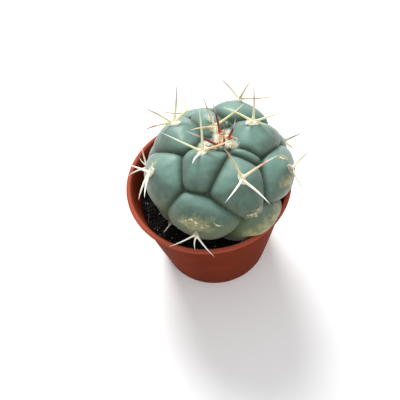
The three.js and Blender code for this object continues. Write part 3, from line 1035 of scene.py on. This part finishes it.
def horn_spines(name, node, frame_of, listed, radius, seed):
    """The spines of one areole as one piece, each a tapered, ringed and slightly bent cone."""
    draw = seeded_draws(seed)
    place, out, up, side = frame_of
    cone = bmesh.new()
    bmesh.ops.create_cone(cone, cap_ends=True, segments=12, radius1=1, radius2=0.02, depth=1)
    long_edges = [e for e in cone.edges if abs(e.verts[0].co.z - e.verts[1].co.z) > 0.5]
    bmesh.ops.subdivide_edges(cone, edges=long_edges, cuts=35)
    shape = np.array([v.co for v in cone.verts])
    ring_at = shape[:, 2] + 0.5
    edge = unit(shape[:, :2])
    edge[np.linalg.norm(shape[:, :2], axis=1) < 1e-4] = 0
    points, tints = [], []
    for clock, lean, length, kind, *foot_at in listed:
        short = short_share if length < short_spine else 1
        thickness = radius * short * (0.9 + 0.2 * next(draw))
        turn = next(draw) * 2 * math.pi
        reach = ring_at * (length + spine_root) - spine_root
        along = np.clip(reach / length, 0, 1)
        taper = (1 - 0.85 * along**1.4) * (1 - along**7) ** 0.6
        bulb = 0.3 * np.exp(-((reach / bulb_length) ** 2))
        rings = 0.03 * np.sin(reach * 2 * math.pi / ring_spacing) * (1 - along)
        width = thickness * np.maximum(taper + bulb + rings, 0.02)
        bent = spine_bend * (along - along**2)
        local = np.stack([edge[:, 0] * width, 0.88 * edge[:, 1] * width, reach], axis=-1)
        turning = np.array(Matrix.Rotation(turn, 3, "Z"))
        local = local @ turning.T + np.outer(bent, turning[:, 0])
        lean, clock = math.radians(lean), math.radians(clock)
        aside = math.sin(lean) * np.array([math.sin(clock), math.cos(clock)])
        way = out * math.cos(lean) + aside @ (side, up)
        standing = np.array(Vector((0, 0, 1)).rotation_difference(Vector(way)).to_matrix())
        foot = place + out * (seat_gap + pad_height * 0.55) + way * 0.5
        foot = foot + (foot_at or aside * foot_spread) @ np.array([side, up])
        points.append(local @ standing.T + foot)
        tints.append(horn_tints(kind, along))
    piece = to_piece(copies_of(cone, len(listed)), name, horn)
    place_vertices(piece.data, np.concatenate(points))
    tint = piece.data.attributes.new("tint", "FLOAT_COLOR", "POINT")
    tint.data.foreach_set("color", np.concatenate(tints).astype(np.float32).ravel())
    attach(piece, "root")
    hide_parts(node)


def felt_material(name, shades, glow):
    # Areole felt: short matted hairs of dead cells, cream to white, that catch the light. A
    # faint glow stands in for the light that is passed on from hair to hair many times over.
    material, add = new_material(name)
    place = (add("TexCoord"), "Object")
    matting = add("TexNoise", Vector=place, Scale=1 / (0.9 * MM), Detail=4, Roughness=0.7)
    colour = add("ValToRGB", stops=shades, Fac=matting)
    shader = add(
        "BsdfPrincipled",
        Base_Color=colour,
        Roughness=0.9,
        Specular_IOR_Level=0.2,
        Sheen_Weight=1.0,
        Sheen_Roughness=0.8,
        Subsurface_Weight=0.8,
        Subsurface_Radius=(1.8 * MM, 1.7 * MM, 1.4 * MM),
        Subsurface_Scale=1.0,
        Emission_Color=linear("#FFFFD6"),
        Emission_Strength=glow,
    )
    add("OutputMaterial", Surface=shader)
    return material


def felt_hairs(frame_of, size, height, count, length, spread, draw):
    """Roots, ways, lengths, widths and bends of hairs standing out of a felt pad."""
    place, out, up, side = frame_of
    roots, ways, lengths, bends = [], [], [], []
    for _ in range(count):
        turn = draw.uniform(0, 2 * math.pi)
        share = math.sqrt(draw.random())
        aside = size[1] * math.cos(turn) * up + size[0] * math.sin(turn) * side
        top = height * math.sqrt(max(0, 1 - share**2))
        roots.append(place + aside * share * 0.95 + out * (top - 0.15))
        stray = np.array([draw.gauss(0, 1) for _ in range(3)])
        ways.append(out + (unit(aside) * (spread * share + 0.2) + 0.35 * stray))
        lengths.append(length * draw.uniform(0.5, 1.3))
        bends.append([draw.gauss(0, 0.25 * length) for _ in range(3)])
    widths = np.array([draw.uniform(0.03, 0.06) for _ in roots])
    return np.array(roots), np.array(ways), np.array(lengths), widths, np.array(bends)


def felt_core(name, frame_of, size, height, material, seed):
    """The matted middle of a pad: a flattened, lumpy ball sunk into the skin."""
    place, out, up, side = frame_of
    ball = bmesh.new()
    bmesh.ops.create_icosphere(ball, subdivisions=4, radius=1)
    piece = to_piece(ball, name, material)
    shape = vertex_array(piece.data)
    places = [Vector(p) + Vector((seed, 0, 0)) for p in shape]
    lumps = np.array([1 + 0.22 * noise(p * 2.2) + 0.1 * noise(p * 7) for p in places])
    shape = shape * lumps[:, None] * (*size, height)
    place_vertices(piece.data, place + shape @ np.array([side, up, out]))
    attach(piece, "root")
    return piece


horn = horn_material()
pad_felt = felt_material(
    "areole_felt", [(0.3, "#F0E8C0"), (0.5, "#FAF5DA"), (0.7, "#FFFDEE")], 0.1
)
worn_felt = felt_material(
    "worn_felt", [(0.3, "#5A4A32"), (0.5, "#8F7D58"), (0.7, "#C9BC94")], 0.0
)
for i, n in enumerate(sorted(spines), start=1):
    frame_of = areole_frame(*on_spiral(n, shifted_areole))
    radius = spine_radius * spine_shares.get(n, 1)
    horn_spines(f"spines_{i:02d}", f"areole_{i:02d}", frame_of, spines[n], radius, 40 + n)
    share = pad_shares[max(first for first in pad_shares if first <= n)]
    size = (pad_size[0] * share, pad_size[1] * share)
    felt = worn_felt if n >= first_worn else pad_felt
    felt_core(f"felt_{i:02d}", frame_of, size, pad_height, felt, n)
    hairs = felt_hairs(frame_of, size, pad_height, 260, 0.6, 0.9, random.Random(70 + n))
    fuzz = strands(f"fuzz_{i:02d}", felt, *hairs, 3)


# The crown is the growing tip, sunk between the youngest tubercles and packed with white
# wool. The youngest spines stand in it, red with pale tips, among brown scraps of old scales.
crown_size = (4.4, 3.0)
crown_height = 1.4
crown_place = (-5, 5)
# As above, and then where the foot of each spine stands, across the wool and along it
crown_listed = [
    (63, 26, 15.5, "red", 2.8, 0.4),
    (-4, 52, 14.5, "red", -3.2, 1.8),
    (172, 17, 9.5, "red", 0.1, -2.5),
    (-126, 64, 7, "pink", 1.4, -2.0),
    (-82, 16, 8.5, "rust", -3.7, -0.4),
]
crown_frame = areole_frame(*crown_place)
crown_wool = felt_material(
    "crown_wool", [(0.3, "#F0E6BC"), (0.45, "#FAF5D8"), (0.6, "#FFFEEC")], 0.14
)
matted_wool = felt_material(
    "matted_wool",
    [(0.34, "#6A5A3C"), (0.45, "#BFA470"), (0.53, "#E6DBB4"), (0.64, "#FAF5DE")],
    0.04,
)
horn_spines("crown_spines", "crown", crown_frame, crown_listed, spine_radius, 7)
felt_core("crown_mat", crown_frame, crown_size, crown_height, matted_wool, 9)
crown_draw = random.Random(5)
crown_hairs = felt_hairs(crown_frame, crown_size, crown_height, 900, 0.9, 0.7, crown_draw)
crown_fuzz = strands("crown_fuzz", matted_wool, *crown_hairs, 4)


# Tufts beside the crown: degrees round and down, half their width and length, and how many hairs
tufts = [
    (94, 19, (0.7, 1.5), 420),
    (91, 13.5, (1.3, 1.3), 760),
    (84, 9, (1.0, 1.4), 620),
    (70, 4, (0.9, 1.1), 560),
    (33, 14, (1.0, 1.2), 480),
    (-33, 17, (1.3, 1.5), 900),
    (-50, 12, (0.9, 0.9), 420),
    (-161, 9.5, (1.2, 1.3), 480),
    (-158, 13.5, (1.0, 1.6), 480),
]


def wool_tufts():
    """Loose cobweb wool that the younger areoles have left on the skin beside the crown."""
    draw = random.Random(31)
    gathered = []
    for azimuth, polar, size, count in tufts:
        tuft = areole_frame(azimuth, polar)
        gathered.append(felt_hairs(tuft, size, 0.7, count, 1.2, 1.1, draw))
    joined = [np.concatenate(parts) for parts in zip(*gathered)]
    piece = strands("wool_tufts", crown_wool, *joined, 4)


wool_tufts()


# Where the scraps lie: degrees round and down, how far they are scattered, and how many
scrap_heaps = [(46, 9, 0.7, 26), (10, 5, 0.9, 14), (-65, 8, 0.9, 14), (-36, 15, 0.9, 6)]


def scale_scraps():
    """Dry straw brown scraps of scales and flower remains caught in the wool."""
    draw = random.Random(12)
    flake = bmesh.new()
    bmesh.ops.create_icosphere(flake, subdivisions=2, radius=1)
    shape = np.array([v.co for v in flake.verts])
    points = []
    for azimuth, polar, scatter, count in scrap_heaps:
        place, out, up, side = areole_frame(azimuth, polar)
        for turn in turned_at_random(draw, count):
            aside = scatter * (draw.gauss(0, 0.6) * up + draw.gauss(0, 0.6) * side)
            middle = place + aside + out * draw.uniform(0.9, 2.2)
            size = np.array([draw.uniform(0.4, 0.95), draw.uniform(0.15, 0.35), 0.08])
            points.append((shape * size) @ turn + middle)
    piece = to_piece(copies_of(flake, len(points)), "scale_scraps", scrap_material())
    place_vertices(piece.data, np.concatenate(points))
    tones = [draw.random() for _ in points]
    note_values(piece.data, "tone", np.repeat(tones, len(shape)))
    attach(piece, "root")


def scrap_material():
    # Dead plant scale: thin papery tissue, straw to chestnut.
    material, add = new_material("dry_scale")
    tone = add("Attribute", {"attribute_name": "tone"})
    colour = add(
        "ValToRGB",
        stops=[(0.0, "#9A5430"), (0.35, "#C68A4E"), (0.75, "#DDB877"), (1.0, "#EFDDB0")],
        Fac=(tone, "Fac"),
    )
    add("OutputMaterial", Surface=add("BsdfPrincipled", Base_Color=colour, Roughness=0.65))
    return material


scale_scraps()


# The surface that the plant stands on is a plain pale sheet, under a large soft light from
# above and behind and the even light of a bright room.
def pale_surface():
    # Matt white laminate with the faintest cloudiness.
    material, add = new_material("pale_laminate")
    place = (add("TexCoord"), "Object")
    cloud = add("TexNoise", Vector=place, Scale=1 / (300 * MM), Detail=2)
    tone = add("ValToRGB", stops=[(0.3, "#F4F4F4"), (0.7, "#F8F8F8")], Fac=cloud)
    add("OutputMaterial", Surface=add("BsdfPrincipled", Base_Color=tone, Roughness=0.7))
    return material


sheet = bmesh.new()
bmesh.ops.create_grid(sheet, x_segments=1, y_segments=1, size=3)
floor = to_piece(sheet, "floor", pale_surface())


def soft_light(name, place, target, size, watts):
    data = bpy.data.lights.new(name, "AREA")
    data.shape = "DISK"
    data.size = size
    data.energy = watts
    light = bpy.data.objects.new(name, data)
    light.location = place
    light.rotation_euler = (Vector(place) - Vector(target)).to_track_quat("Z", "Y").to_euler()
    bpy.context.scene.collection.objects.link(light)


soft_light("window", (-0.08, 0.6, 0.6), rim_centre, 0.45, 9)
soft_light("room", (0.1, -0.45, 0.8), rim_centre, 0.7, 2.6)
world = bpy.data.worlds.new("bright_room")
world.use_nodes = True
background = world.node_tree.nodes["Background"]
background.inputs["Color"].default_value = linear("#FFFFFF")
background.inputs["Strength"].default_value = 0.5
bpy.context.scene.world = world
bpy.context.scene.view_settings.view_transform = "Standard"
